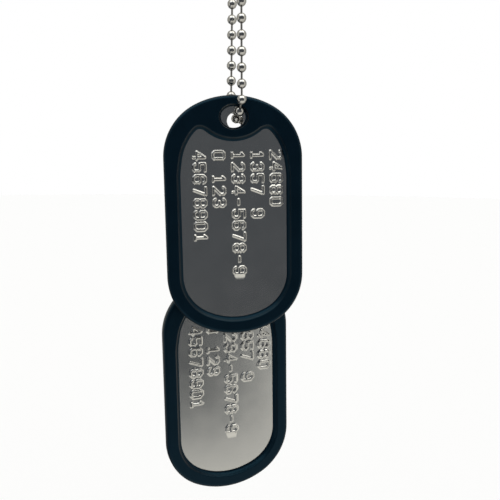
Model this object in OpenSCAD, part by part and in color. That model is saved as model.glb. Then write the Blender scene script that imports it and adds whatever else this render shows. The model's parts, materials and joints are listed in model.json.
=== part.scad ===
// Pair of steel identification tags in rubber edge silencers, hung on a ball chain.
// The front tag hangs on the long neck chain. The rear tag hangs on a short chain
// that is looped round the rear strand of the long one.
// The origin is where the top of the long chain rests on a hook or peg.
// X is to the right, Y to the back and Z up. All sizes are in millimetres.

/* [Tag] */
// Width of the silencer, which is the width over all
silencer_w = 32.5; // [30:0.1:36]
// Height of the silencer
silencer_h = 56; // [52:0.1:62]
// Thickness of the silencer
silencer_t = 2.8; // [2.2:0.1:4]
// Radius of the wide arc at the top and bottom ends
end_r = 19.4; // [17.5:0.1:21]
// Radius of the corner arcs
corner_r = 13.5; // [10:0.1:14.5]
// Radius of the rounding along the outer edges
edge_r = 0.8; // [0.4:0.1:1]
// How far the plate's edge lies inside the silencer's edge
plate_inset = 1.95; // [1.2:0.05:2.4]
// Thickness of the steel plate
plate_t = 0.4; // [0.3:0.05:0.6]
// Gap between the plate and the slot that holds it
slot_gap = 0.1; // [0.05:0.01:0.15]
// Width of the silencer's lip at the sides, out to the bare metal
lip_w = 3.75; // [3.2:0.05:4.5]
// Width of the sloping wall inside the lip
slope_w = 0.9; // [0.5:0.05:1.2]

/* [Hole] */
// Diameter of the hole in the plate
hole_d = 3.8; // [3.4:0.1:4.4]
// Distance from the hole's centre to the top of the silencer
hole_drop = 5.8; // [5:0.1:7]
// How far the hole is punched to the side of the plate's middle
hole_shift = 0.5; // [0:0.1:0.8]
// Radius of the opening in the rubber round the hole, at the plate
opening_r = 2.65; // [2.5:0.05:3]
// How much wider the opening is at the face
opening_flare = 0.6; // [0.2:0.1:0.8]
// How far the opening's centre lies above the hole's
opening_up = 1.1; // [0.5:0.1:1.3]
// How far the opening's centre lies to the left of the hole's
opening_left = 0.3; // [0:0.1:0.4]
// Radius of the rubber lobe below the hole
lobe_r = 9.3; // [8.5:0.1:10]
// Distance from the hole's centre down to the lobe's lowest point on the face
lobe_drop = 3.7; // [3.4:0.1:4.2]

/* [Characters] */
// Height of a character
char_h = 3.15; // [2.4:0.05:3.4]
// Width of a character
char_w = 1.85; // [1.4:0.05:2]
// Width of a character's stroke
stroke_w = 0.45; // [0.3:0.05:0.6]
// Distance from one character to the next
char_pitch = 2.72; // [2.5:0.02:2.8]
// Distance from one row to the next
row_pitch = 4.53; // [4:0.01:4.7]
// Distance from the hole's centre down to the first character's centre
rows_drop = 7.8; // [7:0.1:9]
// How far the middle row lies to the right of the plate's middle
rows_shift = 0.96; // [0:0.02:1.2]
// Height of the raised characters over the plate
relief_h = 0.3; // [0.15:0.05:0.5]

/* [Chains] */
// Diameter of a bead
bead_d = 2.26; // [2:0.02:2.4]
// Distance from one bead to the next
bead_pitch = 3.48; // [3.2:0.02:3.8]
// Diameter of the thread of rods through the beads
thread_d = 0.5; // [0.4:0.05:0.6]
// Diameter of the bore in a bead
bead_bore_d = 0.8; // [0.7:0.05:0.9]
// Length of the long chain round the loop
neck_chain_l = 610; // [500:5:760]
// Length of the short chain round the loop
short_chain_l = 101; // [80:1:130]
// Smallest gap between pieces that lie against each other
rest_gap = 0.12; // [0.1:0.01:0.2]
// Diameter of the hook or peg that the loop hangs on
hook_d = 22; // [16:1:40]
// How far the two strands part sideways at the hook
hook_twist = 6; // [0:0.5:10]

/* [Couplings] */
// Outer diameter of the coupling's barrel
coupling_d = 3.3; // [3.1:0.1:3.8]
// Wall of the barrel
coupling_wall = 0.35; // [0.3:0.05:0.4]
// Width of the slot along the barrel and through its ends
coupling_slot = 1; // [0.8:0.05:1.2]
// Which link of the long chain the coupling closes, counted from the hook down the rear strand
neck_coupling_link = 9; // [3:1:20]
// Which link of the short chain the coupling closes, counted from the top down the rear strand
short_coupling_link = 4; // [2:1:7]

/* [Rear tag] */
// How far the rear tag's middle lies behind the front tag's
rear_behind = 6.3; // [6.2:0.1:9]
// How far the rear tag is turned to the right, in degrees
rear_turn = 10.5; // [0:0.5:12]
// How far the rear tag hangs to the left
rear_left = 0.9; // [0:0.1:1]

/* [Hidden] */

fine = 48;
thread_sides = 6;
lap = 0.5;
overcut = 0.02;

// Bend in degrees from which a bead is drilled towards each neighbour instead of straight through.
sharp_bend = 20;
// Diameter of the hollow at the middle of such a bead, as a share of its bore.
elbow = 1.2;

steel = [0.62, 0.62, 0.61];
polished = [0.80, 0.80, 0.78];
black_rubber = [0.06, 0.08, 0.10];

half_w = silencer_w / 2;
half_h = silencer_h / 2;
half_t = silencer_t / 2;
end_y = half_h - end_r;
corner_x = half_w - corner_r;
corner_y = end_y + sqrt(pow(end_r - corner_r, 2) - pow(corner_x, 2));
split = atan2(corner_y - end_y, corner_x);
slot_half = plate_t / 2 + slot_gap;
lip_t = half_t - slot_half;
hole_y = half_h - hole_drop;
lean = asin(hole_shift / hole_y);
lobe_y = hole_y - lobe_drop + lobe_r;
bead_r = bead_d / 2;
thread_r = thread_d / 2;

// Rows of plain digits, which run down the tag with their tops to the right.
ROWS = ["24680", "1357 9", "1234-5678-9", "0 123", "45678901"];
middle_row = (len(ROWS) - 1) / 2;

// Strokes of each character as lines through points, in shares of its half width and half height.
GLYPHS = [
    ["0", [[[-0.5, 1], [0.5, 1], [1, 0.7], [1, -0.7], [0.5, -1], [-0.5, -1], [-1, -0.7], [-1, 0.7],
            [-0.5, 1]]]],
    ["1", [[[-0.6, 0.6], [0, 1], [0, -1]], [[-0.6, -1], [0.6, -1]]]],
    ["2", [[[-1, 0.7], [-0.5, 1], [0.5, 1], [1, 0.7], [1, 0.2], [-1, -1], [1, -1]]]],
    ["3", [[[-1, 0.7], [-0.5, 1], [0.5, 1], [1, 0.7], [1, 0.3], [0.5, 0], [1, -0.3], [1, -0.7],
            [0.5, -1], [-0.5, -1], [-1, -0.7]], [[-0.3, 0], [0.5, 0]]]],
    ["4", [[[0.5, -1], [0.5, 1], [-1, -0.4], [1, -0.4]]]],
    ["5", [[[1, 1], [-1, 1], [-1, 0.1], [0.5, 0.1], [1, -0.2], [1, -0.7], [0.5, -1], [-0.5, -1],
            [-1, -0.7]]]],
    ["6", [[[1, 0.7], [0.5, 1], [-0.5, 1], [-1, 0.7], [-1, -0.7], [-0.5, -1], [0.5, -1], [1, -0.7],
            [1, -0.2], [0.5, 0.1], [-1, 0.1]]]],
    ["7", [[[-1, 1], [1, 1], [-0.3, -1]]]],
    ["8", [[[-0.5, 0], [-1, 0.3], [-1, 0.7], [-0.5, 1], [0.5, 1], [1, 0.7], [1, 0.3], [0.5, 0],
            [-0.5, 0], [-1, -0.3], [-1, -0.7], [-0.5, -1], [0.5, -1], [1, -0.7], [1, -0.3],
            [0.5, 0]]]],
    ["9", [[[-1, -0.7], [-0.5, -1], [0.5, -1], [1, -0.7], [1, 0.7], [0.5, 1], [-0.5, 1], [-1, 0.7],
            [-1, 0.2], [-0.5, -0.1], [1, -0.1]]]],
    ["-", [[[-0.7, 0], [0.7, 0]]]]
];

// Chain routes. A direction is the way that a link takes, from bead to bead. The chain comes down in
// front of the face, leaning back by so many degrees, passes through the hole and rises behind it.
neck_front_lean = 47;
short_front_lean = 25;
front_drift = 0.04;
through_hole = [-0.09, 0.91, -0.40];
out_of_hole = [-0.17, 0.45, 0.88];
up_behind = [-0.16, 0.08, 0.98];
// Lengths of the last two links, which a chain may close up: a share of the pitch, and spare gaps.
closed_up = 0.88;
spare_gaps = 3;
// The short chain passes over the long one to both sides and hangs down.
over_left = [-0.38, 0.84, -0.39];
over_right = [0.72, 0.49, 0.47];
down_left = [-0.23, -0.09, -0.97];
down_right = [0.13, -0.04, -0.99];

function unit(v) = v / norm(v);
function turned(p, a) = [p[0] * cos(a) - p[1] * sin(a), p[0] * sin(a) + p[1] * cos(a), p[2]];
function between(a, b, n) = [for (i = [1 : n - 1]) a + (b - a) * i / n];
function rotate_list(list, first) = [for (i = [0 : len(list) - 1]) list[(i + first) % len(list)]];

// Directions of the links before and after a bead. An end bead has one link, which counts as both.
function link_before(points, i) = unit(points[max(i, 1)] - points[max(i, 1) - 1]);
function link_after(points, i) = link_before(points, min(i + 1, len(points) - 1));

// The rod between two beads carries the plate at the top of its hole, a little to one side, which
// is given as a share of the hole's diameter.
rod_aside = 0.163;
rod_x = rod_aside * hole_d;
// Half height of the rod in the hole, as a share of its radius, since it passes through at a slant.
slant = 1.2;
rod_z = sqrt(pow(hole_d / 2 - thread_r * slant - rest_gap / 2, 2) - pow(rod_x, 2));

// Beads round the hole, from the first one in front of the face to the second one behind.
bead_y = -(plate_t / 2 + bead_r + rest_gap);
function hole_turn(lean_a) =
    let (b = [rod_x, 0, rod_z] + through_hole * (bead_y / through_hole[1]),
         a = b + unit(through_hole) * bead_pitch,
         c = b + [front_drift, -sin(lean_a), cos(lean_a)] * bead_pitch,
         d = a + unit(out_of_hole) * (bead_d + spare_gaps * rest_gap),
         e = d + unit(up_behind) * bead_pitch * closed_up)
    [c, b, a, d, e];

neck_turn = hole_turn(neck_front_lean);
short_turn = [for (p = hole_turn(short_front_lean)) turned(p, rear_turn)];

// The top of the loop is half a circle over the hook.
arc_r = sqrt(pow(hook_d / 2 + bead_r, 2) + pow(hook_twist / 2, 2));
hook_side = [-hook_twist / 2, -(hook_d / 2 + bead_r), 0];
arc_n = round(PI * arc_r / bead_pitch);
arc_z = -(arc_r - bead_r);
strand_n = round((neck_chain_l / bead_pitch - arc_n - len(neck_turn) + 1) / 2);
strand_offset = hook_side - [neck_turn[0][0], neck_turn[0][1], 0];
strand_h = sqrt(pow(strand_n * bead_pitch, 2) - pow(norm(strand_offset), 2));
hole_at = [0, 0, arc_z - strand_h - neck_turn[0][2]];
arc_points = [for (i = [0 : arc_n])
    hook_side * cos(180 * i / arc_n) + [0, 0, arc_z + arc_r * sin(180 * i / arc_n)]];
neck_turn_at = [for (p = neck_turn) p + hole_at];
neck_route = concat(
    arc_points,
    between(arc_points[arc_n], neck_turn_at[4], strand_n),
    [neck_turn_at[4], neck_turn_at[3], neck_turn_at[2], neck_turn_at[1], neck_turn_at[0]],
    between(neck_turn_at[0], arc_points[0], strand_n));

// The short chain passes behind the long one and hangs down on both sides of it.
left_bead = neck_turn_at[4] + unit(over_left) * (bead_d + rest_gap);
right_bead = neck_turn_at[3] + unit(over_right) * (bead_d + rest_gap);
left_next = left_bead + unit(down_left) * bead_pitch;
right_next = right_bead + unit(down_right) * bead_pitch;
short_n = round((short_chain_l / bead_pitch - 7) / 2);
rear_shift = [-rear_left, rear_behind, 0];
short_offset = right_next - (rear_shift + short_turn[0]);
short_h = sqrt(pow(short_n * bead_pitch, 2) - pow(norm([short_offset[0], short_offset[1]]), 2));
rear_hole_at = rear_shift + [0, 0, right_next[2] - short_h - short_turn[0][2]];
short_turn_at = [for (p = short_turn) p + rear_hole_at];
short_route = concat(
    [left_bead, left_next],
    between(left_next, short_turn_at[4], short_n),
    [short_turn_at[4], short_turn_at[3], short_turn_at[2], short_turn_at[1], short_turn_at[0]],
    between(short_turn_at[0], right_next, short_n),
    [right_next, right_bead]);

// Each chain starts on one side of its coupling and ends on the other.
neck_beads = rotate_list(neck_route, arc_n + neck_coupling_link + 1);
short_beads = rotate_list(short_route, short_coupling_link + 1);

// Outline of the silencer moved inwards by d.
module outline(d) {
    reach = 2 * end_r;
    for (up = [0, 1])
        mirror([0, up]) {
            for (side = [1, -1])
                translate([side * corner_x, corner_y])
                    circle(r = corner_r - d, $fn = fine);
            intersection() {
                translate([0, end_y])
                    circle(r = end_r - d, $fn = fine);
                polygon([[0, end_y],
                         [reach * cos(split), end_y + reach * sin(split)],
                         [-reach * cos(split), end_y + reach * sin(split)]]);
            }
        }
    translate([-half_w + d, -corner_y])
        square([2 * (half_w - d), 2 * corner_y]);
}

// Carries a profile round the silencer's outline, a quarter at a time. The profile's X is
// measured outwards from the outline.
module round_edge() {
    for (up = [0, 1])
        for (side = [0, 1])
            mirror([0, up, 0])
                mirror([side, 0, 0]) {
                    translate([0, end_y, 0])
                        rotate([0, 0, split])
                            rotate_extrude(angle = 90 - split, $fn = 2 * fine)
                                translate([end_r, 0])
                                    children();
                    translate([corner_x, corner_y, 0])
                        rotate_extrude(angle = split, $fn = 2 * fine)
                            translate([corner_r, 0])
                                children();
                    translate([half_w, corner_y, 0])
                        rotate([90, 0, 0])
                            linear_extrude(corner_y)
                                children();
                }
}

// Channel section of the silencer: rounded outside, sloping lips, and a slot for the plate.
module channel_profile() {
    quarter = [for (a = [0 : 22.5 : 90])
        [-edge_r + edge_r * cos(a), half_t - edge_r + edge_r * sin(a)]];
    upper = concat(quarter, [[-lip_w + slope_w, half_t],
                             [-lip_w, slot_half],
                             [-plate_inset + slot_gap, slot_half]]);
    lower = [for (i = [len(upper) - 1 : -1 : 0]) [upper[i][0], -upper[i][1]]];
    polygon(concat(upper, lower));
}

// Lobe of rubber over the plate round the hole, on one face.
module lobe() {
    intersection() {
        linear_extrude(lip_t)
            outline(plate_inset - slot_gap + lap);
        translate([0, lobe_y, 0])
            cylinder(r1 = lobe_r + slope_w, r2 = lobe_r, h = lip_t, $fn = 2 * fine);
    }
}

// Flared opening through the rubber round the hole, on one face.
module opening() {
    translate([hole_shift - opening_left, hole_y + opening_up, -overcut])
        cylinder(r1 = opening_r, r2 = opening_r + opening_flare, h = lip_t + 2 * overcut,
                 $fn = 2 * fine);
}

// The silencer flat on its back, its middle at the origin and its top along Y.
module flat_silencer() {
    difference() {
        union() {
            round_edge()
                channel_profile();
            for (face = [0, 1])
                mirror([0, 0, face])
                    translate([0, 0, slot_half])
                        lobe();
        }
        for (face = [0, 1])
            mirror([0, 0, face])
                translate([0, 0, slot_half])
                    opening();
    }
}

module stroke(a, b) {
    run = b - a;
    translate((a + b) / 2)
        rotate(atan2(run[1], run[0]))
            square([norm(run) + stroke_w, stroke_w], center = true);
}

module character(name) {
    size = [(char_w - stroke_w) / 2 + stroke_w / 4, (char_h - stroke_w) / 2];
    lines = GLYPHS[search([name], GLYPHS)[0]][1];
    for (line = lines)
        for (i = [1 : len(line) - 1])
            stroke([line[i - 1][0] * size[0], line[i - 1][1] * size[1]],
                   [line[i][0] * size[0], line[i][1] * size[1]]);
}

module rows() {
    for (r = [0 : len(ROWS) - 1])
        for (k = [0 : len(ROWS[r]) - 1])
            if (ROWS[r][k] != " ")
                translate([rows_shift + (middle_row - r) * row_pitch,
                           hole_y - rows_drop - k * char_pitch])
                    rotate(-90)
                        character(ROWS[r][k]);
}

// The plate flat on its back, its middle at the origin and its top along Y.
module flat_plate() {
    difference() {
        union() {
            translate([0, 0, -plate_t / 2])
                linear_extrude(plate_t)
                    outline(plate_inset);
            linear_extrude(plate_t / 2 + relief_h)
                rows();
        }
        translate([hole_shift, hole_y, -plate_t])
            cylinder(d = hole_d, h = 2 * plate_t, $fn = 2 * fine);
    }
}

// Hangs a flat piece upright by its hole, leaning so that its middle is below the hole.
module hang(at, turn) {
    translate(at)
        rotate([0, 0, turn])
            rotate([0, -lean, 0])
                rotate([90, 0, 0])
                    translate([-hole_shift, -hole_y, 0])
                        children();
}

module point_along(way) {
    tilt = acos(way[2] / norm(way));
    rotate([0, tilt, atan2(way[1], way[0])])
        children();
}

// A bead with a flared bore along its axis, for a thread that bends by bend degrees in it.
module straight_bead(bend) {
    mouth_r = bead_bore_d / 2 + bead_r * tan(bend / 2);
    rotate_extrude($fn = fine)
        difference() {
            intersection() {
                circle(d = bead_d, $fn = fine);
                translate([0, -bead_r])
                    square([bead_r, bead_d]);
            }
            polygon([[-1, -bead_r], [mouth_r, -bead_r], [bead_bore_d / 2, 0], [mouth_r, bead_r],
                     [-1, bead_r]]);
        }
}

// A bead drilled towards each neighbour, for a sharp bend.
module bent_bead(ways) {
    difference() {
        sphere(d = bead_d, $fn = fine);
        for (way = ways)
            point_along(way)
                translate([0, 0, -bead_bore_d / 4])
                    cylinder(d = bead_bore_d, h = bead_d, $fn = fine);
        sphere(d = bead_bore_d * elbow, $fn = fine);
    }
}

module beads(points) {
    for (i = [0 : len(points) - 1]) {
        back = link_before(points, i);
        ahead = link_after(points, i);
        bend = acos(min(1, back * ahead));
        translate(points[i])
            if (bend < sharp_bend)
                point_along(back + ahead)
                    straight_bead(bend);
            else
                bent_bead([-back, ahead]);
    }
}

// The rods between the beads as one thread, bent inside the beads.
module thread(points) {
    sides = thread_sides;
    last = len(points) - 1;
    rings = [for (i = [0 : last])
        let (way = link_before(points, i) + link_after(points, i),
             across = unit(cross(way, [1, 0, 0])),
             over = cross(unit(way), across))
        for (k = [0 : sides - 1])
            points[i] + thread_r * (across * cos(360 * k / sides) + over * sin(360 * k / sides))];
    skin = [for (i = [0 : last - 1])
        for (k = [0 : sides - 1])
            let (a = i * sides + k,
                 b = i * sides + (k + 1) % sides)
            for (side = [[a, b, b + sides], [a, b + sides, a + sides]])
                side];
    caps = [[for (k = [sides - 1 : -1 : 0]) k],
            [for (k = [0 : sides - 1]) last * sides + k]];
    polyhedron(rings, concat(skin, caps));
}

// Barrel round the two end beads of a chain. A slot runs along it and through both ends, to let the
// rods in from the side, and a round hole in the middle lets the beads in.
module coupling(a, b) {
    inside = norm(b - a) + bead_d + 2 * rest_gap;
    length = inside + 2 * coupling_wall;
    translate((a + b) / 2)
        point_along(b - a)
            difference() {
                cylinder(d = coupling_d, h = length, center = true, $fn = fine);
                cylinder(d = coupling_d - 2 * coupling_wall, h = inside, center = true, $fn = fine);
                cylinder(d = coupling_slot, h = 2 * length, center = true, $fn = fine);
                translate([0, -coupling_slot / 2, -length])
                    cube([coupling_d, coupling_slot, 2 * length]);
                rotate([0, 90, 0])
                    cylinder(d = bead_d + 2 * rest_gap, h = coupling_d, $fn = fine);
            }
}

module front_plate() {
    color(steel)
        hang(hole_at, 0)
            flat_plate();
}

module front_silencer() {
    color(black_rubber)
        hang(hole_at, 0)
            flat_silencer();
}

module rear_plate() {
    color(steel)
        hang(rear_hole_at, rear_turn)
            flat_plate();
}

module rear_silencer() {
    color(black_rubber)
        hang(rear_hole_at, rear_turn)
            flat_silencer();
}

module neck_chain_beads() {
    color(polished)
        beads(neck_beads);
}

module neck_chain_thread() {
    color(polished)
        thread(neck_beads);
}

module neck_coupling() {
    color(polished)
        coupling(neck_beads[len(neck_beads) - 1], neck_beads[0]);
}

module short_chain_beads() {
    color(polished)
        beads(short_beads);
}

module short_chain_thread() {
    color(polished)
        thread(short_beads);
}

module short_coupling() {
    color(polished)
        coupling(short_beads[len(short_beads) - 1], short_beads[0]);
}

front_plate();
front_silencer();
rear_plate();
rear_silencer();
neck_chain_beads();
neck_chain_thread();
neck_coupling();
short_chain_beads();
short_chain_thread();
short_coupling();
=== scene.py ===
"""Looks of a pair of steel identification tags in rubber edge silencers, hung on a ball chain.

Shapes are worked out with numpy in millimetres, as a function of two parameters on a grid or as a
section carried along a path. A tag is made lying flat, with X to the right, Y up, Z out of its face
and its middle at the origin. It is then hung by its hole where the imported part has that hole.
"""
import json

import bmesh
import bpy
import numpy as np
from mathutils import Matrix, Vector


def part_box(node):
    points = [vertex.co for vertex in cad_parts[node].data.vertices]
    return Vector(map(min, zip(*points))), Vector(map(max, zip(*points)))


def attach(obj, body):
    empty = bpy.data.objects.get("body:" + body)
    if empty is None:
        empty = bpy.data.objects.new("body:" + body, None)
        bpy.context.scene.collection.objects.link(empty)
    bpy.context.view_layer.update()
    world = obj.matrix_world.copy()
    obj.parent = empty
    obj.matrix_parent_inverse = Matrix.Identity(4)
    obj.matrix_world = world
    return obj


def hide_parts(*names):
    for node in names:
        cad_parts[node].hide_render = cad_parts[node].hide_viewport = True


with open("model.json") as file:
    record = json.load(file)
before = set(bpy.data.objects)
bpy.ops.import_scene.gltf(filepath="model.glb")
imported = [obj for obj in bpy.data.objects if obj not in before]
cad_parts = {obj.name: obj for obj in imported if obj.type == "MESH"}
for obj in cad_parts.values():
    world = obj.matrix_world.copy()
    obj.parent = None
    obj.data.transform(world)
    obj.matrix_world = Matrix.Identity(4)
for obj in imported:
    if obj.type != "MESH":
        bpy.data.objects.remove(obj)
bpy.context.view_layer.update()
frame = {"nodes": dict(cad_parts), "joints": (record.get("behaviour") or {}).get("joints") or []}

MM = 0.001

# Silencer
SILENCER_W = 32.5
SILENCER_H = 56.0
SILENCER_T = 2.8
END_R = 19.4
CORNER_R = 13.5
EDGE_R = 0.8
PLATE_INSET = 1.95
PLATE_T = 0.4
SLOT_GAP = 0.1
SLOPE_W = 0.9
# Width of the lip out to the bare metal at the sides, how much more at the top and bottom, and the
# heights between which it grows.
LIP_W = 3.75
LIP_MORE_TOP = 1.15
LIP_MORE_BOTTOM = 0.15
LIP_TOP_Y = (9, 19)
LIP_BOTTOM_Y = (-12, -24)
# Radius of the window's two upper corners.
WINDOW_R = 1.4
# Share of a rubber wall's height that rises evenly, with the rest curving up towards the face, and
# how much its upper edge is rounded, in shares of its height.
WALL_EVEN = 0.35
WALL_ROUND = 0.3
# Half the run of the outline's top over which a patch goes round the opening.
TOP_RUN = 6.4

# Hole, and the rubber round it
HOLE_D = 3.8
HOLE_DROP = 5.8
HOLE_SHIFT = 0.5
OPENING_R = 2.9
OPENING_OVAL = 0.84
OPENING_FLARE = 0.6
OPENING_UP = 0.9
OPENING_LEFT = 0.45
LOBE_R = 9.3
LOBE_DROP = 3.7
HOLE_EDGE_R = 0.12

# Characters
CHAR_H = 3.15
CHAR_W = 1.85
STROKE_W = 0.45
CHAR_PITCH = 2.72
ROW_PITCH = 4.53
ROWS_DROP = 7.8
ROWS_SHIFT = 0.96
RELIEF_H = 0.3
# Distances from a stroke's middle line to the edge of its flat top, and to its foot.
STROKE_TOP = 0.14
STROKE_FOOT = 0.36
# Spacing of the plate's points at the characters and a margin round them, and across and along the
# plate elsewhere.
FINE_STEP = 0.125
FINE_MARGIN = 0.25
ACROSS_STEP = 0.42
ALONG_STEP = 0.3
# Height of the plate's cut line over the first line of characters.
CUT_RISE = 0.9

# Chains
BEAD_D = 2.26
BEAD_BORE_D = 0.8
BEAD_RINGS = 6
BEAD_SIDES = 11
ROD_D = 0.5
ROD_START = 0.45
ROD_END_RINGS = 4
ROD_SIDES = 8

HALF_W = SILENCER_W / 2
HALF_H = SILENCER_H / 2
HALF_T = SILENCER_T / 2
END_Y = HALF_H - END_R
CORNER_X = HALF_W - CORNER_R
CORNER_Y = END_Y + np.sqrt((END_R - CORNER_R) ** 2 - CORNER_X**2)
SPLIT = np.arctan2(CORNER_Y - END_Y, CORNER_X)
END_RUN = END_R * (np.pi / 2 - SPLIT)
CORNER_RUN = CORNER_R * SPLIT
QUARTER = END_RUN + CORNER_RUN + CORNER_Y
SLOT_HALF = PLATE_T / 2 + SLOT_GAP
LIP_T = HALF_T - SLOT_HALF
HOLE_Y = HALF_H - HOLE_DROP
LEAN = np.arcsin(HOLE_SHIFT / HOLE_Y)
LOBE_Y = HOLE_Y - LOBE_DROP + LOBE_R
OPENING = np.array([HOLE_SHIFT - OPENING_LEFT, HOLE_Y + OPENING_UP])
HOLE = np.array([HOLE_SHIFT, HOLE_Y])

# Light of the tent's wall behind and in front of the tags, and of the soft box, and how much the
# camera, the room over it and its stand take from the front wall's.
WALL_BACK = 0.55
WALL_FRONT = 1.1
BOX_LIGHT = 1.9
CAMERA_DARK = 0.91
ROOM_DARK = 0.72
STAND_DARK = 0.78
PALE_TINT = (1.0, 0.99, 0.91, 1.0)
DIM_TINT = (0.9, 1.0, 1.12, 1.0)
# The dim card's left, right, bottom and top from the front hole, how far it is in front of it, the
# width of its fades at the bottom and top, and its light.
CARD = (-520, 300, -100, 155)
CARD_FRONT = 150
CARD_FADE = 40
CARD_LIGHT = 0.105

# The camera's place from the front hole, how far it is turned to the left, tipped up and rolled in
# degrees, and its lens.
CAMERA_AT = (-20.69, -139.92, -10.19)
CAMERA_TURN = (-9.9, 8.0, 0.43)
CAMERA_LENS = 43.2
FLOOR_DROP = 206
FLOOR_R = 4000

# Rows of plain digits, which run down the tag with their tops to the right.
ROWS = ["24680", "1357 9", "1234-5678-9", "0 123", "45678901"]
# Strokes of each character as lines through points, in shares of its half width and half height.
GLYPHS = {
    "0": [[(-0.5, 1), (0.5, 1), (1, 0.7), (1, -0.7), (0.5, -1), (-0.5, -1), (-1, -0.7), (-1, 0.7),
           (-0.5, 1)]],
    "1": [[(-0.6, 0.6), (0, 1), (0, -1)], [(-0.6, -1), (0.6, -1)]],
    "2": [[(-1, 0.7), (-0.5, 1), (0.5, 1), (1, 0.7), (1, 0.2), (-1, -1), (1, -1)]],
    "3": [[(-1, 0.7), (-0.5, 1), (0.5, 1), (1, 0.7), (1, 0.3), (0.5, 0), (1, -0.3), (1, -0.7),
           (0.5, -1), (-0.5, -1), (-1, -0.7)], [(-0.3, 0), (0.5, 0)]],
    "4": [[(0.5, -1), (0.5, 1), (-1, -0.4), (1, -0.4)]],
    "5": [[(1, 1), (-1, 1), (-1, 0.1), (0.5, 0.1), (1, -0.2), (1, -0.7), (0.5, -1), (-0.5, -1),
           (-1, -0.7)]],
    "6": [[(1, 0.7), (0.5, 1), (-0.5, 1), (-1, 0.7), (-1, -0.7), (-0.5, -1), (0.5, -1), (1, -0.7),
           (1, -0.2), (0.5, 0.1), (-1, 0.1)]],
    "7": [[(-1, 1), (1, 1), (-0.3, -1)]],
    "8": [[(-0.5, 0), (-1, 0.3), (-1, 0.7), (-0.5, 1), (0.5, 1), (1, 0.7), (1, 0.3), (0.5, 0),
           (-0.5, 0), (-1, -0.3), (-1, -0.7), (-0.5, -1), (0.5, -1), (1, -0.7), (1, -0.3),
           (0.5, 0)]],
    "9": [[(-1, -0.7), (-0.5, -1), (0.5, -1), (1, -0.7), (1, 0.7), (0.5, 1), (-0.5, 1), (-1, 0.7),
           (-1, 0.2), (-0.5, -0.1), (1, -0.1)]],
    "-": [[(-0.7, 0), (0.7, 0)]],
}


# Numbers

def unit(vectors):
    """Vectors divided by their lengths."""
    return vectors / np.linalg.norm(vectors, axis=-1, keepdims=True)


def smooth_step(t):
    """0 below 0, 1 above 1, and 3t squared minus 2t cubed between."""
    t = np.clip(t, 0, 1)
    return t * t * (3 - 2 * t)


def soft_min(a, b, blend):
    """The lesser of a and b, less a parabola where they differ by under the blend length."""
    return np.minimum(a, b) - np.maximum(blend - np.abs(a - b), 0) ** 2 / (4 * blend)


def spaced(low, high, step):
    """Values from low to high whose spacing follows step(value), as equal shares of the sum of
    1/step."""
    fine = np.linspace(low, high, 20001)
    total = np.concatenate([[0], np.cumsum(2 / (step(fine[1:]) + step(fine[:-1])))])
    total *= (high - low) / 20000
    return np.interp(np.linspace(0, total[-1], int(np.ceil(total[-1])) + 1), total, fine)


def crossing(field, level, start, end):
    """Shares of the way from start to end where field(x, y) falls to level, by halving 30 times."""
    low = np.zeros(np.broadcast_shapes(level.shape, start.shape[:-1]))
    high = np.ones_like(low)
    for _ in range(30):
        middle = (low + high) / 2
        at = start + (end - start) * middle[..., None]
        above = field(at[..., 0], at[..., 1]) > level
        low = np.where(above, middle, low)
        high = np.where(above, high, middle)
    return (low + high) / 2


# Outline of the silencer

def outline_at(run):
    """Point and outward normal at a distance run clockwise along the outline from its top middle.
    A quarter is the end arc, the corner arc and the straight side. The other three mirror it."""
    run = run % (4 * QUARTER)
    quarter = np.floor(run / QUARTER)
    run = run - quarter * QUARTER
    run = np.where(quarter % 2 == 1, QUARTER - run, run)
    on_end = run < END_RUN
    angle = np.where(on_end, np.pi / 2 - run / END_R,
                     np.clip(SPLIT - (run - END_RUN) / CORNER_R, 0, SPLIT))
    radius = np.where(on_end, END_R, CORNER_R)
    down = np.maximum(run - END_RUN - CORNER_RUN, 0)
    normal = np.stack([np.cos(angle), np.sin(angle)], -1)
    centre = np.stack([np.where(on_end, 0, CORNER_X),
                       np.where(on_end, END_Y, CORNER_Y) - down], -1)
    sign = np.stack([np.where(quarter < 2, 1, -1), np.where(quarter % 3 == 0, 1, -1)], -1)
    return (centre + radius[..., None] * normal) * sign, normal * sign


def depth(x, y):
    """Distance inwards from the outline: from the corner arc or the end arc in its own sector, and
    from the straight side where that is nearer."""
    x, y = np.abs(x), np.abs(y)
    side = HALF_W - x
    end = END_R - np.hypot(x, y - END_Y)
    corner = CORNER_R - np.hypot(x - CORNER_X, y - CORNER_Y)
    in_end = y - END_Y >= x * np.tan(SPLIT)
    in_corner = (x > CORNER_X) & (y > CORNER_Y) & ~in_end
    return np.minimum(side, np.where(in_corner, corner, np.where(in_end, end, side)))


def half_width(y, inset):
    """Half the width of the outline moved inwards by inset, at height y."""
    y = np.abs(y)
    end, corner = END_R - inset, CORNER_R - inset
    on_end = np.sqrt(np.maximum(end**2 - (y - END_Y) ** 2, 0))
    on_corner = CORNER_X + np.sqrt(np.maximum(corner**2 - np.maximum(y - CORNER_Y, 0) ** 2, 0))
    return np.where(y > END_Y + end * np.sin(SPLIT), on_end, on_corner)


def window(x, y):
    """How far a point lies inside the window in the rubber, negative on the rubber: the lesser of
    its depth past the lip and its distance outside the lobe. Where both are under the corner
    radius, it is that radius less the distance to the corner arc's centre."""
    lip = LIP_W
    for more, (start, end) in ((LIP_MORE_TOP, LIP_TOP_Y), (LIP_MORE_BOTTOM, LIP_BOTTOM_Y)):
        lip = lip + more * smooth_step((y - start) / (end - start))
    lobe = np.hypot(x, y - LOBE_Y) - (LOBE_R + SLOPE_W)
    edge = depth(x, y) - lip
    in_corner = np.hypot(np.maximum(WINDOW_R - edge, 0), np.maximum(WINDOW_R - lobe, 0))
    return np.maximum(WINDOW_R, np.minimum(edge, lobe)) - in_corner


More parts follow.
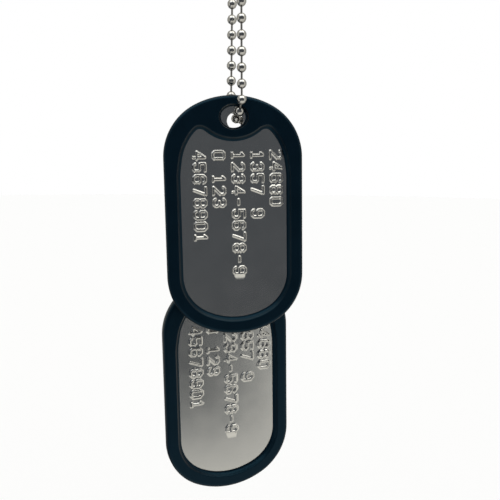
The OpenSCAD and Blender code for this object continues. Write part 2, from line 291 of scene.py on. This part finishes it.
def wall_height(distance, width):
    """Height of a rubber wall that rises from the slot to the face over the width: partly even and
    partly with the cube of the distance, so it is steepest under its edge. A soft minimum with 1
    rounds the edge."""
    t = distance / width
    return SLOT_HALF + LIP_T * soft_min(WALL_EVEN * t + (1 - WALL_EVEN) * t**3, 1.0, WALL_ROUND)


# Meshes

def grid_faces(rows, columns, close_rows=False, close_columns=False):
    """Quads between neighbours of a grid of points numbered row by row, closed round if asked."""
    r = np.arange(rows if close_rows else rows - 1)[:, None]
    c = np.arange(columns if close_columns else columns - 1)[None, :]
    r1, c1 = (r + 1) % rows, (c + 1) % columns
    corners = [r * columns + c, r * columns + c1, r1 * columns + c1, r1 * columns + c]
    return np.stack(np.broadcast_arrays(*corners), -1).reshape(-1, 4)


def make_mesh(name, patches, sharp=38):
    """One mesh of patches, each a grid of points in metres (any leading shape, rows, columns, 3)
    and whether its rows and columns close. Doubles are merged and normals turned outwards."""
    points, faces, first = [], [], 0
    for grid, close_rows, close_columns in patches:
        grid = grid.reshape(-1, *grid.shape[-3:])
        count, rows, columns = grid.shape[:3]
        quads = grid_faces(rows, columns, close_rows, close_columns)
        starts = first + rows * columns * np.arange(count)
        faces.append((quads[None] + starts[:, None, None]).reshape(-1, 4))
        points.append(grid.reshape(-1, 3))
        first += grid.size // 3
    points, faces = np.concatenate(points), np.concatenate(faces)
    mesh = bpy.data.meshes.new(name)
    mesh.vertices.add(len(points))
    mesh.vertices.foreach_set("co", points.astype(np.float32).ravel())
    mesh.loops.add(faces.size)
    mesh.loops.foreach_set("vertex_index", faces.astype(np.int32).ravel())
    mesh.polygons.add(len(faces))
    mesh.polygons.foreach_set("loop_start", np.arange(0, faces.size, 4, dtype=np.int32))
    mesh.update(calc_edges=True)
    work = bmesh.new()
    work.from_mesh(mesh)
    bmesh.ops.remove_doubles(work, verts=work.verts, dist=2e-7)
    bmesh.ops.recalc_face_normals(work, faces=work.faces)
    work.to_mesh(mesh)
    work.free()
    mesh.shade_smooth()
    mesh.set_sharp_from_angle(angle=np.radians(sharp))
    return mesh


def add_piece(name, mesh, material, slot, body, *nodes):
    """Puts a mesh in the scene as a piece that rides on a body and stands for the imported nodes."""
    piece = bpy.data.objects.new(name, mesh)
    bpy.context.scene.collection.objects.link(piece)
    mesh.materials.append(material)
    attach(piece, body)
    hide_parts(*nodes)


def lift(flat, z):
    """Points with X and Y, given a Z."""
    return np.concatenate([flat, np.broadcast_to(z, flat.shape[:-1])[..., None]], -1)


def between(a, b, shares):
    """Rows of points at shares of the way from row a to row b."""
    return a + (b - a) * np.asarray(shares)[:, None, None]


def round_hole(centre, radii, border, shares, oval=1.0):
    """Rows of points from ovals round a centre out to a closed border, each point on the ray from
    the centre to its border point. Oval is an oval's height over its width."""
    rays = unit(border - centre)
    rays = rays / np.hypot(rays[:, :1], rays[:, 1:] / oval)
    circles = centre + rays * np.asarray(radii)[:, None, None]
    return np.concatenate([circles, between(circles[-1], border, shares)])


# Silencer

def silencer_patches():
    """The silencer lying flat. Its face runs from the window's edge, along lines of equal distance
    from that edge, over the lip and down the rounded outer edge. At the top a patch goes round the
    opening instead. The underside of the lips and the other face have the same lines."""
    half = 2 * QUARTER
    # Points stand 0.52 apart along the outline, closer where the lip bends at the end arc's end,
    # and a little closer at the top.
    run = spaced(0, half, lambda s: 0.52 - 0.40 * np.exp(-((s - END_RUN) / 2.6) ** 2)
                 - 0.12 * np.exp(-(s / 9) ** 2))
    run = np.concatenate([-run[:0:-1], run[:-1]])
    base, normal = outline_at(run)
    top = np.flatnonzero(np.abs(run) <= TOP_RUN)
    first, last = top[0], top[-1]
    inner = base - normal * EDGE_R
    slot_edge = base - normal * (PLATE_INSET - SLOT_GAP)

    # Distances of the wall's rows from the window's edge, closer where the wall bends.
    steps = np.array([0, 0.16, 0.32, 0.46, 0.58, 0.68, 0.76, 0.82, 0.87, 0.92, 0.97, 1.04])
    share = crossing(window, -steps[:, None], np.zeros_like(inner)[None], inner[None])
    slope = inner * share[..., None]
    slope_z = wall_height(steps, SLOPE_W)[:, None]
    shares = np.array([0, 0.08, 0.2, 0.32, 0.44, 0.56, 0.68, 0.8, 0.92, 1])
    flat = between(slope[-1], inner, shares)
    # The same steps as the solid has, so that the surface stays inside it.
    turn = np.linspace(0, np.pi / 2, 5)
    edge = base - normal * (EDGE_R * (1 - np.sin(turn)))[:, None, None]
    edge_z = HALF_T - EDGE_R + EDGE_R * np.cos(turn)[:, None]

    def across(rows):
        """Points of the rows outside the top patch, from one cut line round to the other."""
        return np.roll(rows, -last, axis=1)[:, : rows.shape[1] - (last - first) + 1]

    def border(rows):
        """Points round the top patch: along its outer row, down one cut line, back along its inner
        row and up the other cut line."""
        rows = rows[:, first : last + 1]
        return np.concatenate([rows[-1], rows[-2::-1, -1], rows[0, -2::-1], rows[1:-1, 0]])

    # Distances of the rows of the opening's wall from its foot.
    flare = np.array([0, 0.12, 0.24, 0.34, 0.43, 0.5, 0.55, 0.59, 0.63, 0.7])
    patch = round_hole(OPENING, OPENING_R + flare, border(flat), [0.12, 0.35, 0.65, 0.88, 1],
                       OPENING_OVAL)
    patch_z = np.full((len(patch), 1), HALF_T)
    patch_z[: len(flare), 0] = wall_height(flare, OPENING_FLARE)
    under = between(slope[0], slot_edge, shares)
    under_patch = round_hole(OPENING, [OPENING_R], border(under), [0.5, 1], OPENING_OVAL)

    patches = []
    for side in (1, -1):
        patches += [
            (lift(slope, side * slope_z), False, True),
            (lift(across(flat), side * HALF_T), False, False),
            (lift(patch, side * patch_z), False, True),
            (lift(edge, side * edge_z), False, True),
            (lift(across(under), side * SLOT_HALF), False, False),
            (lift(under_patch, side * SLOT_HALF), False, True),
        ]
    walls = np.array([1, -1])[:, None]
    patches += [
        (lift(np.stack([slot_edge] * 2), walls * SLOT_HALF), False, True),
        (lift(np.stack([base] * 2), walls * (HALF_T - EDGE_R)), False, True),
    ]
    return patches


# Plate

def strokes():
    """Start and end points of all strokes of all characters on the lying plate."""
    half_w = (CHAR_W - STROKE_W) / 2 + STROKE_W / 4
    half_h = (CHAR_H - STROKE_W) / 2
    starts, ends = [], []
    for r, row in enumerate(ROWS):
        for k, name in enumerate(row):
            middle = np.array([ROWS_SHIFT + ((len(ROWS) - 1) / 2 - r) * ROW_PITCH,
                               HOLE_Y - ROWS_DROP - k * CHAR_PITCH])
            for line in GLYPHS.get(name, []):
                x, y = np.array(line, float).T
                points = middle + np.stack([y * half_h, -x * half_w], -1)
                starts.append(points[:-1])
                ends.append(points[1:])
    return np.concatenate(starts), np.concatenate(ends)


def relief(x, y):
    """Height of the raised characters: full to the edge of a stroke's top, then a smooth step down
    to its foot, by the distance to the nearest stroke's middle line."""
    starts, ends = strokes()
    nearest = np.full(np.broadcast_shapes(x.shape, y.shape), 10.0)
    for a, b in zip(starts, ends):
        run = b - a
        along = np.clip(((x - a[0]) * run[0] + (y - a[1]) * run[1]) / (run @ run), 0, 1)
        gap = np.hypot(x - a[0] - along * run[0], y - a[1] - along * run[1])
        nearest = np.minimum(nearest, gap)
    return RELIEF_H * (1 - smooth_step((nearest - STROKE_TOP) / (STROKE_FOOT - STROKE_TOP)))


def plate_patches():
    """The plate lying flat. Below a cut line its points are shares of its width on lines across it,
    close together where characters are. Above, a patch goes round the hole. The stamped characters
    stand out of the front and are hollow at the back."""
    columns = ROWS_SHIFT + (np.arange(len(ROWS)) - (len(ROWS) - 1) / 2) * ROW_PITCH
    lines = HOLE_Y - ROWS_DROP - np.arange(max(map(len, ROWS))) * CHAR_PITCH
    cut = lines[0] + CHAR_W / 2 + CUT_RISE

    def near(values, centres, reach, close, far):
        """Step close within reach of a centre, and far elsewhere."""
        return np.where(np.abs(values[:, None] - centres).min(1) < reach, close, far)

    side = HALF_W - PLATE_INSET
    x = spaced(-side, side,
               lambda v: near(v, columns, CHAR_H / 2 + FINE_MARGIN, FINE_STEP, ACROSS_STEP))
    y = spaced(-CORNER_Y, cut,
               lambda v: near(v, lines, CHAR_W / 2 + FINE_MARGIN, FINE_STEP, ALONG_STEP))
    end, corner = END_R - PLATE_INSET, CORNER_R - PLATE_INSET
    on_end = np.linspace(np.pi / 2, SPLIT, 14)
    on_corner = np.linspace(SPLIT, 0, 17)
    y = np.concatenate([-END_Y - end * np.sin(on_end[:-1]),
                        -CORNER_Y - corner * np.sin(on_corner[:-1]), y])
    width = half_width(y, PLATE_INSET)
    lower = np.stack([x[None, :] / side * width[:, None],
                      np.broadcast_to(y[:, None], (len(y), len(x)))], -1)

    on_corner = np.linspace(np.arcsin((cut - CORNER_Y) / corner), SPLIT, 16)[:-1]
    on_end = np.linspace(SPLIT, np.pi / 2, 14)
    upper = np.concatenate([
        np.stack([CORNER_X + corner * np.cos(on_corner),
                  CORNER_Y + corner * np.sin(on_corner)], -1),
        np.stack([end * np.cos(on_end), END_Y + end * np.sin(on_end)], -1)])
    upper = np.concatenate([upper, upper[-2::-1] * [-1, 1]])
    border = np.concatenate([lower[-1], upper[1:-1]])
    turn = np.linspace(0, np.pi / 2, 5)
    radii = HOLE_D / 2 + HOLE_EDGE_R * (1 - np.cos(turn))
    patch = round_hole(HOLE, radii, border, [0.08, 0.3, 0.6, 1])
    patch_z = np.full((len(patch), 1), PLATE_T / 2)
    patch_z[: len(turn), 0] -= HOLE_EDGE_R * (1 - np.sin(turn))

    raised = relief(lower[..., 0], lower[..., 1])
    rim = np.concatenate([lower[1:, 0], upper[-2:0:-1], lower[:0:-1, -1], lower[:1, 0]])
    patches = []
    for face in (1, -1):
        patches += [
            (lift(lower, face * PLATE_T / 2 + raised), False, False),
            (lift(patch, face * patch_z), False, True),
        ]
    walls = np.array([1, -1])[:, None]
    patches += [
        (lift(np.stack([rim] * 2), walls * PLATE_T / 2), False, True),
        (lift(np.stack([patch[0]] * 2), walls * patch_z[0]), False, True),
    ]
    return patches


def hang(patches, joint):
    """Stands a lying tag up by its hole at a joint, turned to the joint's axis, and leaning so that
    its middle is below the hole. Millimetres become metres."""
    turn = np.arctan2(-joint["axis"][0], joint["axis"][1])
    stand = (Matrix.Rotation(turn, 3, "Z") @ Matrix.Rotation(-LEAN, 3, "Y")
             @ Matrix.Rotation(np.pi / 2, 3, "X"))
    stand = np.array(stand) * MM
    hole = np.array([*HOLE, 0])
    return [(np.array(joint["pos_m"]) + (grid - hole) @ stand.T, *closed)
            for grid, *closed in patches]


# Chains

def bead_centres(node, coupling):
    """Middles of the beads of a packed chain, in order from one end bead in the coupling to the
    other. Corners of the mesh that share a face get the same label until no label changes, and the
    chain is walked from each bead to the nearest one not yet passed."""
    mesh = frame["nodes"][node].data
    points = np.empty(len(mesh.vertices) * 3)
    mesh.vertices.foreach_get("co", points)
    points, same = np.unique(points.reshape(-1, 3).round(7), axis=0, return_inverse=True)
    mesh.calc_loop_triangles()
    corners = np.empty(len(mesh.loop_triangles) * 3, int)
    mesh.loop_triangles.foreach_get("vertices", corners)
    corners = same.ravel()[corners].reshape(-1, 3)
    label = np.arange(len(points))
    while True:
        least = label[corners].min(1)
        new = label.copy()
        np.minimum.at(new, corners.ravel(), np.repeat(least, 3))
        if (new == label).all():
            break
        label = new
    _, group = np.unique(label, return_inverse=True)
    count = group.max() + 1
    low, high = np.full((count, 3), np.inf), np.full((count, 3), -np.inf)
    np.minimum.at(low, group, points)
    np.maximum.at(high, group, points)
    centres = (low + high) / 2
    box = np.array(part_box(coupling))
    ends = np.flatnonzero(((centres > box[0]) & (centres < box[1])).all(1))
    ends = ends[np.argsort(np.linalg.norm(centres[ends] - box.mean(0), axis=1))[:2]]
    order, left = [ends[0]], set(range(count)) - set(ends.tolist())
    while left:
        rest = np.array(sorted(left))
        nearest = rest[np.linalg.norm(centres[rest] - centres[order[-1]], axis=1).argmin()]
        order.append(nearest)
        left.discard(int(nearest))
    return centres[order + [ends[1]]]


def bead_patches(centres):
    """Hollow beads along a chain. A bead is a sphere of rings, from round the bore on one side to
    round the bore on the other, and the plane of the rings turns from the way of the link before
    to that of the link after. A ring in the middle joins the two bores."""
    links = unit(np.diff(centres, axis=0))
    before = np.concatenate([links[:1], links])[:, None]
    after = np.concatenate([links, links[-1:]])[:, None]
    side = np.cross(before, after) + 1e-4 * np.cross(before, [0.3, 0.5, 0.2])
    radius, bore = BEAD_D / 2 * MM, BEAD_BORE_D / 2 * MM
    first = np.arcsin(bore / radius)
    polar = np.linspace(first, np.pi - first, BEAD_RINGS)
    turn = ((polar - polar[0]) / (polar[-1] - polar[0]))[:, None]
    turn = np.concatenate([turn, [[0.5]]])
    way = unit(before * (1 - turn) + after * turn)
    over = unit(side - (side * way).sum(-1, keepdims=True) * way)
    across = np.cross(over, way)
    out = np.concatenate([radius * np.sin(polar), [bore]])[:, None]
    along = np.concatenate([-radius * np.cos(polar), [0]])[:, None]
    angle = np.linspace(0, 2 * np.pi, BEAD_SIDES, endpoint=False)[:, None]
    ring = across[:, :, None] * np.cos(angle) + over[:, :, None] * np.sin(angle)
    middle = centres[:, None, None] + (way * along)[:, :, None]
    return [(middle + ring * out[:, None], True, True)]


def rod_patches(centres):
    """Round-ended rods, each from just off one bead's middle to just off the next one's."""
    links = np.diff(centres, axis=0)
    way = unit(links)[:, None, None]
    over = unit(np.cross(way, [0.3, 0.5, 0.2]))
    across = np.cross(over, way)
    start, radius = ROD_START * MM, ROD_D / 2 * MM
    length = (np.linalg.norm(links, axis=1) - 2 * start)[:, None]
    turn = np.linspace(0, np.pi / 2, ROD_END_RINGS)
    cap = radius * (1 - np.cos(turn))
    along = np.concatenate([np.broadcast_to(cap, (len(links), len(cap))), length - cap[::-1]], 1)
    out = radius * np.sin(turn)
    out = np.concatenate([out, out[::-1]])[:, None, None]
    angle = np.linspace(0, 2 * np.pi, ROD_SIDES, endpoint=False)[:, None]
    ring = across * np.cos(angle) + over * np.sin(angle)
    middle = centres[:-1, None, None] + way * (start + along)[:, :, None, None]
    return [(middle + ring * out, False, True)]


# Materials

def linear(value):
    """An sRGB hex colour as linear red, green, blue and alpha."""
    c = np.array([value >> 16 & 255, value >> 8 & 255, value & 255]) / 255
    c = np.where(c <= 0.04045, c / 12.92, ((c + 0.055) / 1.055) ** 2.4)
    return (*c.tolist(), 1.0)


def add_node(tree, kind, inputs=(), **settings):
    """Adds a node with its settings. Each input takes a value, or an output to link."""
    node = tree.nodes.new(kind)
    for name, value in settings.items():
        setattr(node, name, value)
    for name, value in dict(inputs).items():
        if isinstance(value, bpy.types.NodeSocket):
            tree.links.new(value, node.inputs[name])
        else:
            node.inputs[name].default_value = value
    return node


def new_material(name):
    """An empty node material, its tree, and object coordinates in metres."""
    material = bpy.data.materials.new(name)
    material.use_nodes = True
    tree = material.node_tree
    tree.nodes.clear()
    place = add_node(tree, "ShaderNodeTexCoord").outputs["Object"]
    return material, tree, place


def finish_material(tree, shader):
    """Links a shader to the material's output."""
    add_node(tree, "ShaderNodeOutputMaterial", {"Surface": shader.outputs[0]})


def stamped_stainless_steel():
    """Cold rolled stainless steel sheet, stamped and tumbled. The mill's matt grain blurs what it
    reflects, and handling leaves it cloudy."""
    material, tree, place = new_material("stamped_stainless_steel")
    # The rolled grain is about 0.02 mm wide, drawn at 0.12 mm so that it shows.
    grain = add_node(tree, "ShaderNodeTexNoise",
                     {"Vector": place, "Scale": 1 / (0.12 * MM), "Detail": 2.0, "Roughness": 0.6})
    # Clouds of handling marks about 6 mm across.
    clouds = add_node(tree, "ShaderNodeTexNoise",
                      {"Vector": place, "Scale": 1 / (6 * MM), "Detail": 4.0, "Roughness": 0.6})
    colour = add_node(tree, "ShaderNodeMix", {"Factor": clouds.outputs["Fac"],
                                              6: linear(0xB9B8B5), 7: linear(0xC6C4C1)},
                      data_type="RGBA")
    rough = add_node(tree, "ShaderNodeMapRange", {"Value": clouds.outputs["Fac"],
                                                  "To Min": 0.17, "To Max": 0.25})
    bump = add_node(tree, "ShaderNodeBump", {"Height": grain.outputs["Fac"],
                                             "Strength": 0.06, "Distance": 0.02 * MM})
    shader = add_node(tree, "ShaderNodeBsdfPrincipled",
                      {"Base Color": colour.outputs[2], "Metallic": 1.0,
                       "Roughness": rough.outputs[0], "Normal": bump.outputs[0]})
    finish_material(tree, shader)
    return material


def moulded_silicone_rubber():
    """Black silicone rubber from a polished mould. Its satin skin takes soft highlights, and dust
    that clings to it makes it a little uneven."""
    material, tree, place = new_material("moulded_silicone_rubber")
    # The skin's texture is about 0.03 mm wide, drawn at 0.15 mm so that it shows.
    skin = add_node(tree, "ShaderNodeTexNoise",
                    {"Vector": place, "Scale": 1 / (0.15 * MM), "Detail": 2.0, "Roughness": 0.5})
    # Patches of clinging dust about 5 mm across.
    clouds = add_node(tree, "ShaderNodeTexNoise",
                      {"Vector": place, "Scale": 1 / (5 * MM), "Detail": 3.0, "Roughness": 0.55})
    colour = add_node(tree, "ShaderNodeMix", {"Factor": clouds.outputs["Fac"],
                                              6: linear(0x030A12), 7: linear(0x05101A)},
                      data_type="RGBA")
    rough = add_node(tree, "ShaderNodeMapRange", {"Value": clouds.outputs["Fac"],
                                                  "To Min": 0.32, "To Max": 0.42})
    bump = add_node(tree, "ShaderNodeBump", {"Height": skin.outputs["Fac"],
                                             "Strength": 0.08, "Distance": 0.03 * MM})
    shader = add_node(tree, "ShaderNodeBsdfPrincipled",
                      {"Base Color": colour.outputs[2], "Roughness": rough.outputs[0],
                       "IOR": 1.41, "Specular IOR Level": 0.36,
                       "Specular Tint": linear(0x74C6EE), "Normal": bump.outputs[0]})
    finish_material(tree, shader)
    return material


def nickel_plated_steel(name, roughness, dark, light):
    """Nickel plated steel, tumbled bright. Small scratches soften its sharp reflections, and drawn
    wire, which was never polished, is rougher and darker than a bead."""
    material, tree, place = new_material(name)
    # Tumbling leaves marks about 0.1 mm long, drawn at 0.4 mm so that they show.
    scratches = add_node(tree, "ShaderNodeTexNoise",
                         {"Vector": place, "Scale": 1 / (0.4 * MM), "Detail": 3.0,
                          "Roughness": 0.6})
    colour = add_node(tree, "ShaderNodeMix", {"Factor": scratches.outputs["Fac"],
                                              6: linear(dark), 7: linear(light)},
                      data_type="RGBA")
    rough = add_node(tree, "ShaderNodeMapRange", {"Value": scratches.outputs["Fac"],
                                                  "To Min": roughness - 0.04,
                                                  "To Max": roughness + 0.06})
    shader = add_node(tree, "ShaderNodeBsdfPrincipled",
                      {"Base Color": colour.outputs[2], "Metallic": 1.0,
                       "Roughness": rough.outputs[0]})
    finish_material(tree, shader)
    return material


# The pieces

joints = {joint["name"]: joint for joint in frame["joints"]}
plate_steel = stamped_stainless_steel()
rubber = moulded_silicone_rubber()
bead_steel = nickel_plated_steel("nickel_plated_rolled_bead", 0.16, 0xACAAA7, 0xB6B4B1)
wire_steel = nickel_plated_steel("nickel_plated_drawn_wire", 0.34, 0x8C8A87, 0x9B9995)
coupling_steel = nickel_plated_steel("nickel_plated_stamped_coupling", 0.16, 0xACAAA7, 0xB6B4B1)

silencer = silencer_patches()
plate = plate_patches()
for tag in ("front", "rear"):
    joint = joints[tag + "_swing"]
    add_piece(tag + "_rubber_silencer",
              make_mesh(tag + "_rubber_silencer", hang(silencer, joint), 50),
              rubber, "silencer_rubber", tag + "_tag", tag + "_silencer")
    add_piece(tag + "_steel_plate", make_mesh(tag + "_steel_plate", hang(plate, joint), 50),
              plate_steel, "plate_steel", tag + "_tag", tag + "_plate")

for chain in ("neck", "short"):
    centres = bead_centres(chain + "_chain_beads", chain + "_coupling")
    add_piece(chain + "_beads", make_mesh(chain + "_beads", bead_patches(centres), 40),
              bead_steel, "chain_steel", "chain", chain + "_chain_beads")
    add_piece(chain + "_rods", make_mesh(chain + "_rods", rod_patches(centres), 40),
              wire_steel, "chain_steel", "chain", chain + "_chain_thread")
    coupling = frame["nodes"][chain + "_coupling"]
    coupling.data.materials.clear()
    coupling.data.materials.append(coupling_steel)


# Light, floor and camera

def towards(azimuth, elevation):
    """Unit vector at degrees to the right of the front, which is -Y, and degrees up."""
    a, e = np.radians([azimuth, elevation])
    return Vector((np.sin(a) * np.cos(e), -np.cos(a) * np.cos(e), np.sin(e)))


def tent():
    """A pale tent that a soft box over the front lights. The dim room round the photographer stands
    in front of the tags, so bare steel that faces it looks dark, and the box puts a crescent on
    each bead. All this shows in reflections only: the camera and the floor see plain white."""
    world = bpy.data.worlds.new("tent")
    bpy.context.scene.world = world
    world.use_nodes = True
    tree = world.node_tree
    tree.nodes.clear()
    way = add_node(tree, "ShaderNodeTexCoord").outputs["Generated"]
    x, y, z = add_node(tree, "ShaderNodeSeparateXYZ", {0: way}).outputs
    front = add_node(tree, "ShaderNodeMath", {0: y, 1: -1.0}, operation="MULTIPLY").outputs[0]
    # Angles of the ray in degrees: to the right of the front, up, from the back over the top to the
    # front, and out to the right.
    angles = [add_node(tree, "ShaderNodeMath", {0: a, 1: b}, operation=operation).outputs[0]
              for operation, a, b in (("ARCTAN2", x, front), ("ARCSINE", z, 0.0),
                                      ("ARCTAN2", z, y), ("ARCSINE", x, 0.0))]
    right, up, over, out = [add_node(tree, "ShaderNodeMath", {0: angle},
                                     operation="DEGREES").outputs[0] for angle in angles]
    # How far the ray goes along the camera's stand, which runs down to the left in front of the
    # tags, and how far it misses it.
    stand_way = Vector((-0.76, -0.30, -0.58)).normalized()
    across = towards(-4, 8).cross(stand_way).normalized()
    stand, miss = [add_node(tree, "ShaderNodeVectorMath", {0: way, 1: vector},
                            operation="DOT_PRODUCT").outputs["Value"]
                   for vector in (stand_way, across)]
    miss = add_node(tree, "ShaderNodeMath", {0: miss}, operation="ABSOLUTE").outputs[0]
    # Each part of the tent is a product of smooth steps. A step has the value that it follows,
    # where it starts and ends, and its levels there.
    parts = [
        ("camera", [(right, 30, 36, CAMERA_DARK, 0), (right, -60, -44, 0, 1), (up, -29, -23, 0, 1),
                    (up, 14, 30, 1, 0)]),
        ("room", [(right, 30, 56, ROOM_DARK, 0), (right, -80, -50, 0, 1), (up, -10, 6, 0, 1),
                  (up, 30, 66, 1, 0)]),
        ("stand", [(miss, 0.122, 0.332, STAND_DARK, 0), (stand, 0.105, 0.349, 0, 1)]),
        ("wall", [(y, 0.349, -0.524, WALL_BACK, WALL_FRONT)]),
        ("box", [(over, 78, 92, 0, BOX_LIGHT), (over, 138, 152, 1, 0), (out, 36, 50, 1, 0),
                 (out, -50, -36, 0, 1)]),
    ]
    levels = {}
    for part, steps in parts:
        level = 1.0
        for value, first, last, low, high in steps:
            step = add_node(tree, "ShaderNodeMapRange",
                            {"Value": value, "From Min": first, "From Max": last, "To Min": low,
                             "To Max": high}, interpolation_type="SMOOTHSTEP")
            level = add_node(tree, "ShaderNodeMath", {0: level, 1: step.outputs[0]},
                             operation="MULTIPLY").outputs[0]
        levels[part] = level
    dark = 0.0
    for part in ("camera", "room", "stand"):
        dark = add_node(tree, "ShaderNodeMath", {0: dark, 1: levels[part]},
                        operation="MAXIMUM").outputs[0]
    clear = add_node(tree, "ShaderNodeMath", {0: 1.0, 1: dark}, operation="SUBTRACT").outputs[0]
    strength = add_node(tree, "ShaderNodeMath", {0: levels["wall"], 1: clear, 2: levels["box"]},
                        operation="MULTIPLY_ADD").outputs[0]
    tint = add_node(tree, "ShaderNodeMix", {"Factor": dark, 6: PALE_TINT, 7: DIM_TINT},
                    data_type="RGBA")
    lit = add_node(tree, "ShaderNodeBackground", {"Strength": strength, "Color": tint.outputs[2]})
    seen = add_node(tree, "ShaderNodeBackground", {"Color": (1.0, 1.0, 1.0, 1.0), "Strength": 1.0})
    path = add_node(tree, "ShaderNodeLightPath")
    mix = add_node(tree, "ShaderNodeMixShader", {0: path.outputs["Is Glossy Ray"],
                                                 1: seen.outputs[0], 2: lit.outputs[0]})
    add_node(tree, "ShaderNodeOutputWorld", {"Surface": mix.outputs[0]})


def dim_card(hole):
    """A dim sheet beside the camera that shows in bright steel only. It is the photographer, who is
    so near that each bead sees them in its own middle, and it fades out towards its edges. The
    camera doesn't see it, and it takes no light from matt things."""
    left, right, low, high = [value * MM for value in CARD]
    fade = CARD_FADE * MM
    corners = np.array([[[left, 0, low], [right, 0, low]], [[left, 0, high], [right, 0, high]]])
    corners += np.array(hole) + np.array([0, -CARD_FRONT * MM, 0])
    mesh = make_mesh("dim_card", [(corners, False, False)])
    card = bpy.data.objects.new("dim_card", mesh)
    bpy.context.scene.collection.objects.link(card)
    material, tree, place = new_material("dim_room")
    x, _, z = add_node(tree, "ShaderNodeSeparateXYZ", {0: place}).outputs
    level = 1.0
    # The sides fade slowly, so that no edge shows across a plate.
    for value, first, last in ((x, left, left + 5 * fade), (x, right, right - 4 * fade),
                               (z, hole.z + low, hole.z + low + fade),
                               (z, hole.z + high, hole.z + high - fade)):
        step = add_node(tree, "ShaderNodeMapRange",
                        {"Value": value, "From Min": first, "From Max": last},
                        interpolation_type="SMOOTHSTEP")
        level = add_node(tree, "ShaderNodeMath", {0: level, 1: step.outputs[0]},
                         operation="MULTIPLY").outputs[0]
    through = add_node(tree, "ShaderNodeBsdfTransparent")
    glow = add_node(tree, "ShaderNodeEmission", {"Color": DIM_TINT, "Strength": CARD_LIGHT})
    finish_material(tree, add_node(tree, "ShaderNodeMixShader", {0: level, 1: through.outputs[0],
                                                                 2: glow.outputs[0]}))
    mesh.materials.append(material)
    card.visible_camera = card.visible_diffuse = card.visible_shadow = False


def pale_floor(z, radius):
    """A round white floor under the hanging tags, a disc of rings."""
    angle = np.linspace(0, 2 * np.pi, 96, endpoint=False)
    ring = np.stack([np.cos(angle), np.sin(angle)], -1) * radius
    flat = between(np.zeros_like(ring), ring, [0, 0.05, 0.3, 1])
    mesh = make_mesh("floor", [(lift(flat, z), False, True)])
    floor = bpy.data.objects.new("floor", mesh)
    bpy.context.scene.collection.objects.link(floor)
    material, tree, _ = new_material("matt_white_paper")
    paper = add_node(tree, "ShaderNodeBsdfDiffuse", {"Color": linear(0xFDFDFC)})
    finish_material(tree, paper)
    mesh.materials.append(material)
    floor.visible_glossy = False


tent()
hole = Vector(joints["front_swing"]["pos_m"])
dim_card(hole)
pale_floor(hole.z - FLOOR_DROP * MM, FLOOR_R * MM)

camera_data = bpy.data.cameras.new("camera")
camera_data.sensor_width = 36
camera_data.lens = CAMERA_LENS
camera_data.clip_start = 0.01
camera = bpy.data.objects.new("camera", camera_data)
azimuth, elevation, roll = np.radians(CAMERA_TURN)
camera.matrix_world = (Matrix.Translation(hole + Vector(CAMERA_AT) * MM)
                       @ Matrix.Rotation(azimuth, 4, "Z")
                       @ Matrix.Rotation(np.pi / 2 - elevation, 4, "X")
                       @ Matrix.Rotation(roll, 4, "Z"))
bpy.context.scene.collection.objects.link(camera)
bpy.context.scene.camera = camera
bpy.context.scene.view_settings.view_transform = "Standard"
